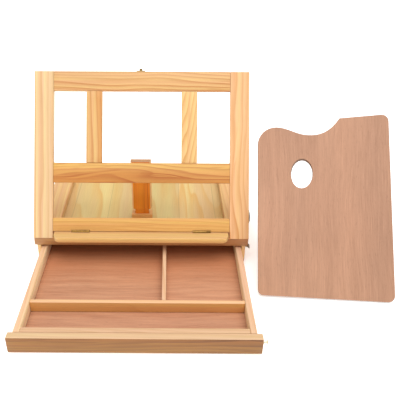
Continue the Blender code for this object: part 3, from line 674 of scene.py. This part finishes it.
def build_ledge(material, front):
    """The ledge, its front corners rounded and its back edge close to the lid between the hinges."""
    low, high = (Vector(corner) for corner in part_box("canvas_ledge"))
    axis_y = JOINT["lid_fold"]["pos_m"][1]
    radius = LEDGE_CORNER
    outline = hinge_notches(axis_y - AXIS_GAP, high.y, high.x)[::-1]
    for centre_x, start in ((low.x + radius, 180), (high.x - radius, 270)):
        for step in range(LEDGE_CORNER_STEPS + 1):
            angle = math.radians(start + 90 * step / LEDGE_CORNER_STEPS)
            outline.append((centre_x + radius * math.cos(angle), low.y + radius * (1.0 + math.sin(angle))))
    cut_board("canvas_ledge", outline, "X", material, edge=LEDGE_EDGE, others=[(facing_front, front)])


def build_bottom_rail(material):
    """The lid's bottom rail, notched round the hinges."""
    low, high = local_box("rail_bottom", LID)
    outline = hinge_notches(AXIS_GAP, low.y, high.x) + [(high.x, high.y), (low.x, high.y)]
    cut_board("rail_bottom", outline, "X", material, LID, edge=0.0004, shift=(1.4, -0.01, 0.002))


def flare_thumb_hole(corner):
    """Opens the rims of the thumb hole a little, and moves the lower one over."""
    offset = Vector((corner.x, corner.y, 0.0)) - THUMB_HOLE
    if offset.length < THUMB_REACH:
        if corner.z > PALETTE_PLY / 2:
            corner.x += offset.x * UPPER_FLARE[0]
            corner.y += offset.y * UPPER_FLARE[1]
        else:
            corner.x += LOWER_MOVE[0] - offset.x * LOWER_FLARE
            corner.y += LOWER_MOVE[1] - offset.y * LOWER_FLARE


def square_prop(corner):
    """Keeps the prop's chamfers only along its front edges."""
    if corner.y > PROP_LENGTH - PROP_CHAMFER:
        corner.y = PROP_LENGTH
    if corner.z < 0.0 and corner.y > PROP_FOOT:
        if abs(corner.x) > PROP_HALF_WIDTH - PROP_CHAMFER:
            corner.x = math.copysign(PROP_HALF_WIDTH, corner.x)
            corner.z = -PROP_HALF_THICK


def build_timber():
    """All boards, each from its own stretch of timber."""
    pale_wood = (0.765, 0.505, 0.250)
    pale = pine("pine_pale", pale_wood, deeper(pale_wood), ring=0.0075, contrast=0.75, shade=0.13)
    gold = (0.730, 0.430, 0.175)
    golden = pine(
        "pine_golden", gold, deeper(gold),
        ring=0.0070, contrast=0.9, pith=(0.040, -0.030), slope=0.03,
    )

    # Lid frame
    left = (0.760, 0.545, 0.320)
    stile_left = pine(
        "pine_stile_left", left, deeper(left, 1.05),
        ring=0.0088, contrast=0.85, pith=(0.060, -0.020), slope=0.010,
    )
    right = (0.785, 0.505, 0.262)
    stile_right = pine(
        "pine_stile_right", right, deeper(right, 1.28),
        ring=0.0095, contrast=1.0, pith=(0.040, -0.020), slope=0.05, wander=0.020,
    )
    top = pine(
        "pine_rail_top", (0.705, 0.435, 0.195), (0.460, 0.165, 0.035),
        ring=0.0058, contrast=1.0, pith=(0.030, -0.016), slope=0.03, wander=0.012, lines=0.7,
    )
    figured = pine(
        "pine_figured", (0.720, 0.410, 0.122), (0.390, 0.100, 0.014),
        ring=0.0062, contrast=0.9, pith=(0.004, -0.020), slope=0.03, wander=0.022,
        heart=(0.004, -0.009, (0.550, 0.215, 0.038)), lines=0.7,
    )
    bottom = pine(
        "pine_rail_bottom", (0.710, 0.402, 0.118), (0.520, 0.215, 0.042),
        ring=0.0046, contrast=1.0, slope=0.02, lines=0.6,
    )
    muntin_left = pine(
        "pine_muntin_left", (0.705, 0.435, 0.190), (0.480, 0.170, 0.032),
        ring=0.0070, contrast=0.85, pith=(0.050, -0.02), slope=0.02,
        heart=(0.003, 0.006, (0.620, 0.290, 0.080)),
    )
    muntin_right = pine(
        "pine_muntin_right", (0.800, 0.535, 0.245), (0.580, 0.255, 0.055),
        ring=0.0082, contrast=0.95, pith=(0.045, -0.02), slope=-0.22, wander=0.010,
    )

    # Ledge, front rail, prop and top panel
    ledge_top = pine(
        "pine_ledge", (0.625, 0.400, 0.170), (0.540, 0.300, 0.095),
        ring=0.008, contrast=0.6,
    )
    ledge_front = pine(
        "pine_ledge_front", (0.860, 0.580, 0.230), (0.700, 0.380, 0.120),
        ring=0.0035, contrast=0.9, pith=(0.145, -0.010), wander=0.004, lines=0.6,
    )
    # Painted shade: the case's front rail takes a darker pine on its front face, standing in for the shade
    # under the ledge and the lid
    shaded_rail_front = pine(
        "pine_rail_front_painted_shade", (0.530, 0.265, 0.108), (0.400, 0.165, 0.060),
        ring=0.005, contrast=0.8,
    )
    amber = pine(
        "pine_amber", (1.000, 0.362, 0.034), (0.620, 0.140, 0.011),
        ring=0.0075, contrast=0.9, pith=(0.010, -0.020), wander=0.012,
    )
    # The prop's chamfers: paler bare pine, made paler still as a painted highlight along its edges
    bare_and_highlight = pine("pine_bare_and_highlight", (0.960, 0.640, 0.340), (0.800, 0.440, 0.180), ring=0.005, contrast=0.5)
    # The prop's far end: darker end grain, darkened further as painted shade where it stands behind the
    # middle rail
    prop_end_grain_and_shade = pine("pine_prop_end_grain_and_shade", (0.490, 0.278, 0.142), (0.330, 0.155, 0.065), ring=0.003, contrast=0.9)
    block = pine("pine_block", (0.820, 0.470, 0.180), (0.640, 0.320, 0.100), ring=0.004, contrast=0.7)
    panel = pine(
        "pine_panel", (0.720, 0.570, 0.285), (0.670, 0.385, 0.095),
        ring=0.034, contrast=0.80, pith=(0.016, -0.030), slope=0.12, wander=0.030,
        plank=0.062, streaks=24.0, lines=0.0,
    )

    # Drawer
    side = (0.735, 0.490, 0.335)
    drawer_side = pine("pine_drawer_side", side, deeper(side), ring=0.0080, contrast=0.60)
    # Painted light: the side faces of the drawer's sides take a much paler copy of their pine, lighter than
    # the wood itself, standing in for the light that falls on the walls
    lit_wall = (1.000, 0.830, 0.585)
    lit_drawer_wall = pine("pine_drawer_wall_painted_light", lit_wall, deeper(lit_wall), ring=0.0080, contrast=0.60)
    front_top = pine(
        "pine_front_top", (0.695, 0.505, 0.305), (0.560, 0.340, 0.155),
        ring=0.0080, contrast=0.6,
    )
    front_face = pine(
        "pine_front_face", (0.380, 0.168, 0.040), (0.190, 0.064, 0.014),
        ring=0.0058, contrast=0.9, pith=(0.0, -0.034), slope=0.01, wander=0.008, shade=0.24, lines=0.9,
    )
    divider_top = pine(
        "pine_divider_top", (0.775, 0.490, 0.295), (0.660, 0.360, 0.160),
        ring=0.006, contrast=0.5,
    )
    divider_face = pine(
        "pine_divider_face", (0.745, 0.392, 0.142), (0.600, 0.265, 0.080),
        ring=0.006, contrast=0.7,
    )
    inner = pine("pine_inner", (0.685, 0.458, 0.290), (0.560, 0.320, 0.150), ring=0.006, contrast=0.7)

    # Plywood
    # The drawer floor darkens and reddens towards the case: painted shade under the ledge
    luan = veneer(
        "luan_floor", (0.565, 0.282, 0.155), (0.360, 0.140, 0.066), (0.500, 0.208, 0.110),
        wave=(7.0, 150.0), figure=0.6, cloud=(0.88, 1.07), painted_shade=(-0.200, -0.145, (0.560, 0.180, 0.060)),
    )
    palette = veneer(
        "luan_palette", (0.475, 0.249, 0.147), (0.310, 0.145, 0.076), (0.400, 0.195, 0.110),
        wave=(3.0, 72.0), figure=0.45, ply=PALETTE_PLY, cloud=(0.80, 1.12),
    )
    rim = veneer(
        "luan_rim", (0.230, 0.130, 0.080), (0.130, 0.070, 0.045), (0.180, 0.090, 0.055),
        wave=(2.0, 90.0),
    )

    # Case. A shift picks the stretch of timber: along the grain, across it and through the board
    board("case_bottom", "X", luan, shift=(0.3, 0.1, 0.0))
    board("case_side_left", "Y", pale, shift=(0.1, 0.02, 0.01))
    board("case_side_right", "Y", pale, shift=(0.7, 0.03, 0.02))
    board("case_back", "X", golden, shift=(0.5, 0.02, 0.01))
    board("top_panel", "Y", panel, edge=0.0003, shift=(1.44, 0.744, 0.0))
    board("top_strip_left", "Y", pale, shift=(0.9, 0.13, 0.0))
    board("top_strip_right", "Y", pale, shift=(1.3, -0.12, 0.01))
    # Its front face takes the darker pine, painted shade
    board("top_rail_front", "X", golden, shift=(1.7, 0.10, 0.02), others=[(facing_front, shaded_rail_front)])
    board("top_rail_back", "X", golden, shift=(2.1, -0.08, 0.0))
    build_ledge(ledge_top, ledge_front)

    # Lid
    shaped("stile_left", "Y", stile_left, LID, shift=(0.0, 0.155, 0.0))
    shaped("stile_right", "Y", stile_right, LID, shift=(0.6, -0.150, 0.004))
    board("rail_top", "X", top, LID, edge=0.0004, shift=(0.3, -0.24, 0.0))
    board("rail_middle", "X", figured, LID, edge=0.0004, shift=(0.9, -0.093, 0.0))
    build_bottom_rail(bottom)
    board("muntin_left", "Y", muntin_left, LID, shift=(0.2, 0.075, 0.0))
    board("muntin_right", "Y", muntin_right, LID, shift=(1.1, -0.075, 0.0))

    # Prop
    # Its far end: end grain with painted shade; its chamfers: bare wood with a painted highlight
    shaped("prop", "Y", amber, PROP, others=[(far_end, prop_end_grain_and_shade), (sloping, bare_and_highlight)], adjust=square_prop)
    shaped("prop_block", "X", block, edge=0.0004)

    # Drawer and palette
    board(
        "drawer_front", "X", front_top, edge=0.0011, shift=(2.6, 0.32, 0.0),
        others=[(facing_front, front_face)],
    )
    board("drawer_inner_front", "X", inner, shift=(2.9, 0.31, 0.0))
    # The drawer sides' side faces take the paler copy of their pine, painted light
    board("drawer_side_left", "Y", drawer_side, shift=(1.6, 0.155, 0.0), others=[(sideways, lit_drawer_wall)])
    board("drawer_side_right", "Y", drawer_side, shift=(1.9, -0.155, 0.0), others=[(sideways, lit_drawer_wall)])
    board("drawer_back", "X", pale, shift=(3.3, 0.07, 0.0))
    board("drawer_floor", "X", luan, edge=0.0003, shift=(0.0, 0.0, -0.0046))
    board("divider_cross", "X", divider_face, shift=(3.1, 0.25, 0.0), others=[(facing_up, divider_top)])
    board("divider_long", "Y", drawer_side, shift=(2.3, -0.037, 0.0))
    shaped(
        "palette", "Y", palette, PALETTE, edge=0.0004, shift=(1.80, 0.84, 0.0),
        others=[(round_the_edge, rim)], adjust=flare_thumb_hole,
    )


# ---------------------------------------------------------------------------------------------
# Hardware
# ---------------------------------------------------------------------------------------------
# A screw head from its seat to its top, as shares of its radius and height, and the slot cut into it
SCREW_PROFILE = (
    (0.0, 0.0), (0.96, 0.0), (1.0, 0.12), (1.0, 0.34), (0.93, 0.56), (0.78, 0.76), (0.55, 0.91), (0.0, 1.0),
)
SCREW_STEPS = 28
SLOT_CUTS = (-0.17, -0.14, 0.14, 0.17)
SLOT_HALF_WIDTH = 0.15
SLOT_FLOOR = 0.45
# Turn of the screw slots in degrees: it starts here and grows with every node of the record
FIRST_TURN = 20.0
NEXT_TURN = 37.0

# The handle's bow: distance along from its middle, and how far out its centre lies. Its slope is measured
# over two steps
GRIP_BOW = (
    (0.0, 0.0155), (0.0100, 0.0154), (0.0210, 0.0148), (0.0330, 0.0134), (0.0413, 0.0108), (0.0464, 0.0070),
)
BOW_STEP = 0.002

# The leather wrap: its radius at the ends, what the middle adds, and its creases
WRAP_END = 0.0412
WRAP_STEPS = 90
WRAP_SIDES = 48
WRAP_THIN = 0.0029
WRAP_FULL = 0.0013
WRAP_REACH = 0.043
CREASE_DEPTH = 0.00006
CREASE_SCALE = 260
# Its seam, by angle round the grip: a ridge on both sides of a groove, with dimples along it
SEAM_SIDE = math.pi
SEAM_HALF = 0.20
RIDGE_HEIGHT = 0.00013
RIDGE_WIDTH = 0.10
GROOVE_SHARE = 1.6
GROOVE_WIDTH = 0.09
SEAM_PITCH = 0.0030

# The ferrules and the stitches
FERRULE_INNER = 0.0402
FERRULE_OUTER = 0.0428
FERRULE_STEPS = 12
FERRULE_SIDES = 32
FERRULE_NECK = 0.0021
FERRULE_FLARE = 0.0011
FERRULE_SHOULDER = 2.2
STITCHES = 25
STITCH_SPAN = 0.075
STITCH_SLANT = 0.35
STITCH_PROUD = 0.00002
STITCH_SIZE = (0.00022, 0.00030, 0.00115, 1.0)


def dress(node, material):
    """A CAD node that keeps its shape and gets a finish and rounded edges."""
    piece = frame["nodes"][node]
    for slot in piece.material_slots:
        slot.material = material
    round_edges(piece, METAL_EDGE, METAL_ROUNDING_STEPS, METAL_EDGE_ANGLE)


def screw_head(node, axis, material, turn):
    """A domed screw head with a slot, seated in a node's box."""
    low, high = (Vector(corner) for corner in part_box(node))
    height = high[axis] - low[axis]
    radius = min(high[other] - low[other] for other in range(3) if other != axis) / 2
    shape = bmesh.new()
    points = [shape.verts.new((radius * reach, 0.0, height * up)) for reach, up in SCREW_PROFILE]
    edges = [shape.edges.new(pair) for pair in zip(points, points[1:])]
    bmesh.ops.spin(
        shape, geom=points + edges, cent=(0.0, 0.0, 0.0), axis=(0.0, 0.0, 1.0), angle=2 * math.pi,
        steps=SCREW_STEPS, use_merge=True,
    )
    bmesh.ops.remove_doubles(shape, verts=shape.verts[:], dist=SPIN_WELD)
    for cut in SLOT_CUTS:
        bmesh.ops.bisect_plane(
            shape, geom=shape.verts[:] + shape.edges[:] + shape.faces[:], plane_co=(cut * radius, 0.0, 0.0),
            plane_no=(1.0, 0.0, 0.0),
        )
    for vertex in shape.verts:
        if abs(vertex.co.x) < SLOT_HALF_WIDTH * radius and vertex.co.z > height * SLOT_FLOOR:
            vertex.co.z = height * SLOT_FLOOR
    bmesh.ops.recalc_face_normals(shape, faces=shape.faces[:])
    middle = (low + high) / 2
    middle[axis] = low[axis]
    onto_axis = Matrix.Rotation(math.radians(90.0 if axis == 0 else -90.0), 4, "Y" if axis == 0 else "X")
    place = Matrix.Translation(middle) @ onto_axis @ Matrix.Rotation(math.radians(turn), 4, "Z")
    put(node + "_head", node, made(shape, node + "_head"), place, material)


def grip_line(y):
    """How far out the handle's centre lies at a distance along the case from its middle."""
    reach = abs(y)
    for (near, out), (far, next_out) in zip(GRIP_BOW, GRIP_BOW[1:]):
        if reach <= far:
            share = (reach - near) / (far - near)
            return out + (next_out - out) * share
    return GRIP_BOW[-1][1]


def swept(name, start, end, steps, size, sides):
    """A round solid along the grip's bow. size gives its radius from the distance along and the angle."""
    shape = bmesh.new()
    rings = []
    for step in range(steps + 1):
        y = start + (end - start) * step / steps
        slope = (grip_line(y + BOW_STEP) - grip_line(y - BOW_STEP)) / (2 * BOW_STEP)
        across = Vector((1.0, -slope, 0.0)).normalized()
        centre = Vector((grip_line(y), y, 0.0))
        ring = []
        for side in range(sides):
            angle = 2 * math.pi * side / sides
            outward = across * math.cos(angle) + Vector((0, 0, math.sin(angle)))
            ring.append(shape.verts.new(centre + size(y, angle) * outward))
        rings.append(ring)
    for ring, following in zip(rings, rings[1:]):
        for side in range(sides):
            after = (side + 1) % sides
            shape.faces.new((ring[side], ring[after], following[after], following[side]))
    shape.faces.new(rings[0])
    shape.faces.new(rings[-1][::-1])
    bmesh.ops.recalc_face_normals(shape, faces=shape.faces[:])
    return made(shape, name)


def wrap_size(y, angle):
    """Leather wrap: fullest in the middle, with a seam on the side towards the case."""
    fullness = WRAP_THIN + WRAP_FULL * math.cos(y / WRAP_REACH * math.pi / 2)
    from_seam = abs(angle - SEAM_SIDE)
    ridge = math.exp(-((from_seam - SEAM_HALF) / RIDGE_WIDTH) ** 2)
    groove = GROOVE_SHARE * math.exp(-((from_seam / GROOVE_WIDTH) ** 2))
    dimple = 0.5 + 0.5 * math.sin(y * 2 * math.pi / SEAM_PITCH)
    crease = noise.noise(Vector((math.cos(angle) * 2, math.sin(angle) * 2, y * CREASE_SCALE)))
    return fullness + RIDGE_HEIGHT * (ridge - groove) * (0.7 + 0.3 * dimple) + CREASE_DEPTH * crease


def ferrule_size(y, angle):
    """Ferrule: narrow at its outer end, the same all round."""
    inward = (FERRULE_OUTER - abs(y)) / (FERRULE_OUTER - FERRULE_INNER)
    return FERRULE_NECK + FERRULE_FLARE * min(1.0, max(0.0, inward * FERRULE_SHOULDER)) ** 0.5


def build_grip(hide, thread, brass):
    """Leather grip with a stitched seam and a brass ferrule at each end."""
    place = Matrix.Translation(JOINT["handle_swing"]["pos_m"])
    wrap = swept("grip_wrap", -WRAP_END, WRAP_END, WRAP_STEPS, wrap_size, WRAP_SIDES)
    put("grip_wrap", "handle_grip", wrap, place, hide, GRIP_SHARP)
    for label, side in (("front", -1), ("back", 1)):
        inner, outer = side * FERRULE_INNER, side * FERRULE_OUTER
        mesh = swept("ferrule_" + label, inner, outer, FERRULE_STEPS, ferrule_size, FERRULE_SIDES)
        put("ferrule_" + label, "handle_grip", mesh, place, brass, GRIP_SHARP)
    shape = bmesh.new()
    for number in range(STITCHES):
        y = -STITCH_SPAN / 2 + STITCH_SPAN * number / (STITCHES - 1)
        radius = wrap_size(y, SEAM_SIDE + SEAM_HALF) + STITCH_PROUD
        matrix = Matrix.Translation((grip_line(y) - radius, y, 0.0)) @ Matrix.Rotation(STITCH_SLANT, 4, "X")
        matrix = matrix @ Matrix.Diagonal(STITCH_SIZE)
        bmesh.ops.create_uvsphere(shape, u_segments=10, v_segments=8, radius=1.0, matrix=matrix)
    put("grip_stitches", "handle_grip", made(shape, "grip_stitches"), place, thread, STITCH_SHARP)


def build_hardware():
    """Finishes for the metal, slotted screws and the wrapped grip."""
    brass = metal("aged_brass", (0.55, 0.38, 0.14), (0.26, 0.17, 0.06), (0.06, 0.04, 0.02), 0.28, 0.55)
    steel = metal("zinc_steel", (0.55, 0.54, 0.52), (0.34, 0.33, 0.31), (0.12, 0.10, 0.08), 0.25, 0.50)
    hide = leather("grip_leather", (0.085, 0.045, 0.030), (0.030, 0.016, 0.012), (0.16, 0.09, 0.06))
    old_brass = metal("dark_brass", (0.42, 0.25, 0.07), (0.20, 0.11, 0.03), (0.04, 0.03, 0.02), 0.35, 0.60)
    pale_brass = metal("pale_brass", (0.78, 0.70, 0.52), (0.56, 0.48, 0.33), (0.22, 0.18, 0.12), 0.28, 0.55)
    thread = leather("waxed_thread", (0.40, 0.28, 0.15), (0.24, 0.15, 0.08), (0.50, 0.36, 0.20))
    build_grip(hide, thread, brass)
    turn = FIRST_TURN
    for node, slot in SLOT.items():
        if node.startswith("handle_screw"):
            screw_head(node, 0, brass, turn)
        elif node.startswith("latch_screw"):
            screw_head(node, 1, brass, turn)
        elif node.startswith("hinge"):
            dress(node, old_brass)
        elif node == "drawer_stud":
            dress(node, pale_brass)
        elif slot in ("brass", "steel"):
            dress(node, brass if slot == "brass" else steel)
        turn += NEXT_TURN


# ---------------------------------------------------------------------------------------------
# Stage, lights and camera
# ---------------------------------------------------------------------------------------------
# Place in metres, turns in degrees, lens and sensor in millimetres, shift in sensor widths
CAMERA_PLACE = (0.0422, -0.8077, 0.5301)
CAMERA_YAW = 0.26
CAMERA_PITCH = -30.86
CAMERA_ROLL = -0.19
CAMERA_LENS = 47.29
CAMERA_SENSOR = 36.0
CAMERA_SHIFT = (0.0850, -0.0118)
CAMERA_CLIP = (0.01, 50.0)
# The key light shines from this direction, spread over this many degrees
KEY_FROM = (0.25, -0.42, 2.0)
KEY_SPREAD = 60.0
KEY_POWER = 2.5
# Strength of the sky overhead and at the horizon, and the heights between which it changes
SKY = 0.64
HORIZON = 1.05
SKY_FADE = (0.02, 0.30)
SKY_COLOUR = (1.0, 0.99, 0.98, 1.0)
# The floor is a hair lower than the case's base, and glows faintly
FLOOR_SIZE = 12.0
FLOOR_PLACE = (0.0, 0.0, -0.0002)
FLOOR_GLOW = 0.36


def build_stage():
    """Pale floor and a sky that brightens towards the horizon."""
    shape = bmesh.new()
    bmesh.ops.create_grid(shape, x_segments=1, y_segments=1, size=FLOOR_SIZE)
    mesh = made(shape, "floor")
    floor = bpy.data.objects.new("floor", mesh)
    floor.location = FLOOR_PLACE
    bpy.context.scene.collection.objects.link(floor)
    mesh.materials.append(painted_floor("floor_paint"))

    world = bpy.data.worlds.new("studio")
    world.use_nodes = True
    tree = world.node_tree
    background = tree.nodes["Background"]
    background.inputs["Color"].default_value = SKY_COLOUR
    split = tree.nodes.new("ShaderNodeSeparateXYZ")
    tree.links.new(tree.nodes.new("ShaderNodeTexCoord").outputs["Generated"], split.inputs[0])
    height = tree.nodes.new("ShaderNodeMapRange")
    for socket, number in zip(list(height.inputs)[1:5], (*SKY_FADE, HORIZON, SKY)):
        socket.default_value = number
    tree.links.new(split.outputs["Z"], height.inputs[0])
    tree.links.new(height.outputs[0], background.inputs["Strength"])
    bpy.context.scene.world = world


def build_lights():
    """One broad soft light, high in front and a little to the right."""
    light = bpy.data.lights.new("key", "SUN")
    light.angle = math.radians(KEY_SPREAD)
    light.energy = KEY_POWER
    lamp = bpy.data.objects.new("key", light)
    lamp.location = KEY_FROM
    lamp.rotation_euler = Vector(KEY_FROM).to_track_quat("Z", "Y").to_euler()
    bpy.context.scene.collection.objects.link(lamp)


def build_camera():
    """The camera, from its turn, tilt and roll."""
    yaw, pitch, roll = (math.radians(angle) for angle in (CAMERA_YAW, CAMERA_PITCH, CAMERA_ROLL))
    turn = Matrix.Rotation(yaw, 3, "Z") @ Matrix.Rotation(pitch, 3, "X") @ Matrix.Rotation(roll, 3, "Y")
    right, forward, up = turn.col[0], turn.col[1], turn.col[2]
    lens = bpy.data.cameras.new("camera")
    lens.sensor_width = CAMERA_SENSOR
    lens.lens = CAMERA_LENS
    lens.shift_x, lens.shift_y = CAMERA_SHIFT
    lens.clip_start, lens.clip_end = CAMERA_CLIP
    camera = bpy.data.objects.new("camera", lens)
    basis = Matrix((right, up, -forward)).transposed().to_4x4()
    camera.matrix_world = Matrix.Translation(CAMERA_PLACE) @ basis
    bpy.context.scene.collection.objects.link(camera)
    bpy.context.scene.camera = camera


bpy.context.scene.view_settings.view_transform = "Standard"
build_timber()
build_hardware()
build_stage()
build_lights()
build_camera()
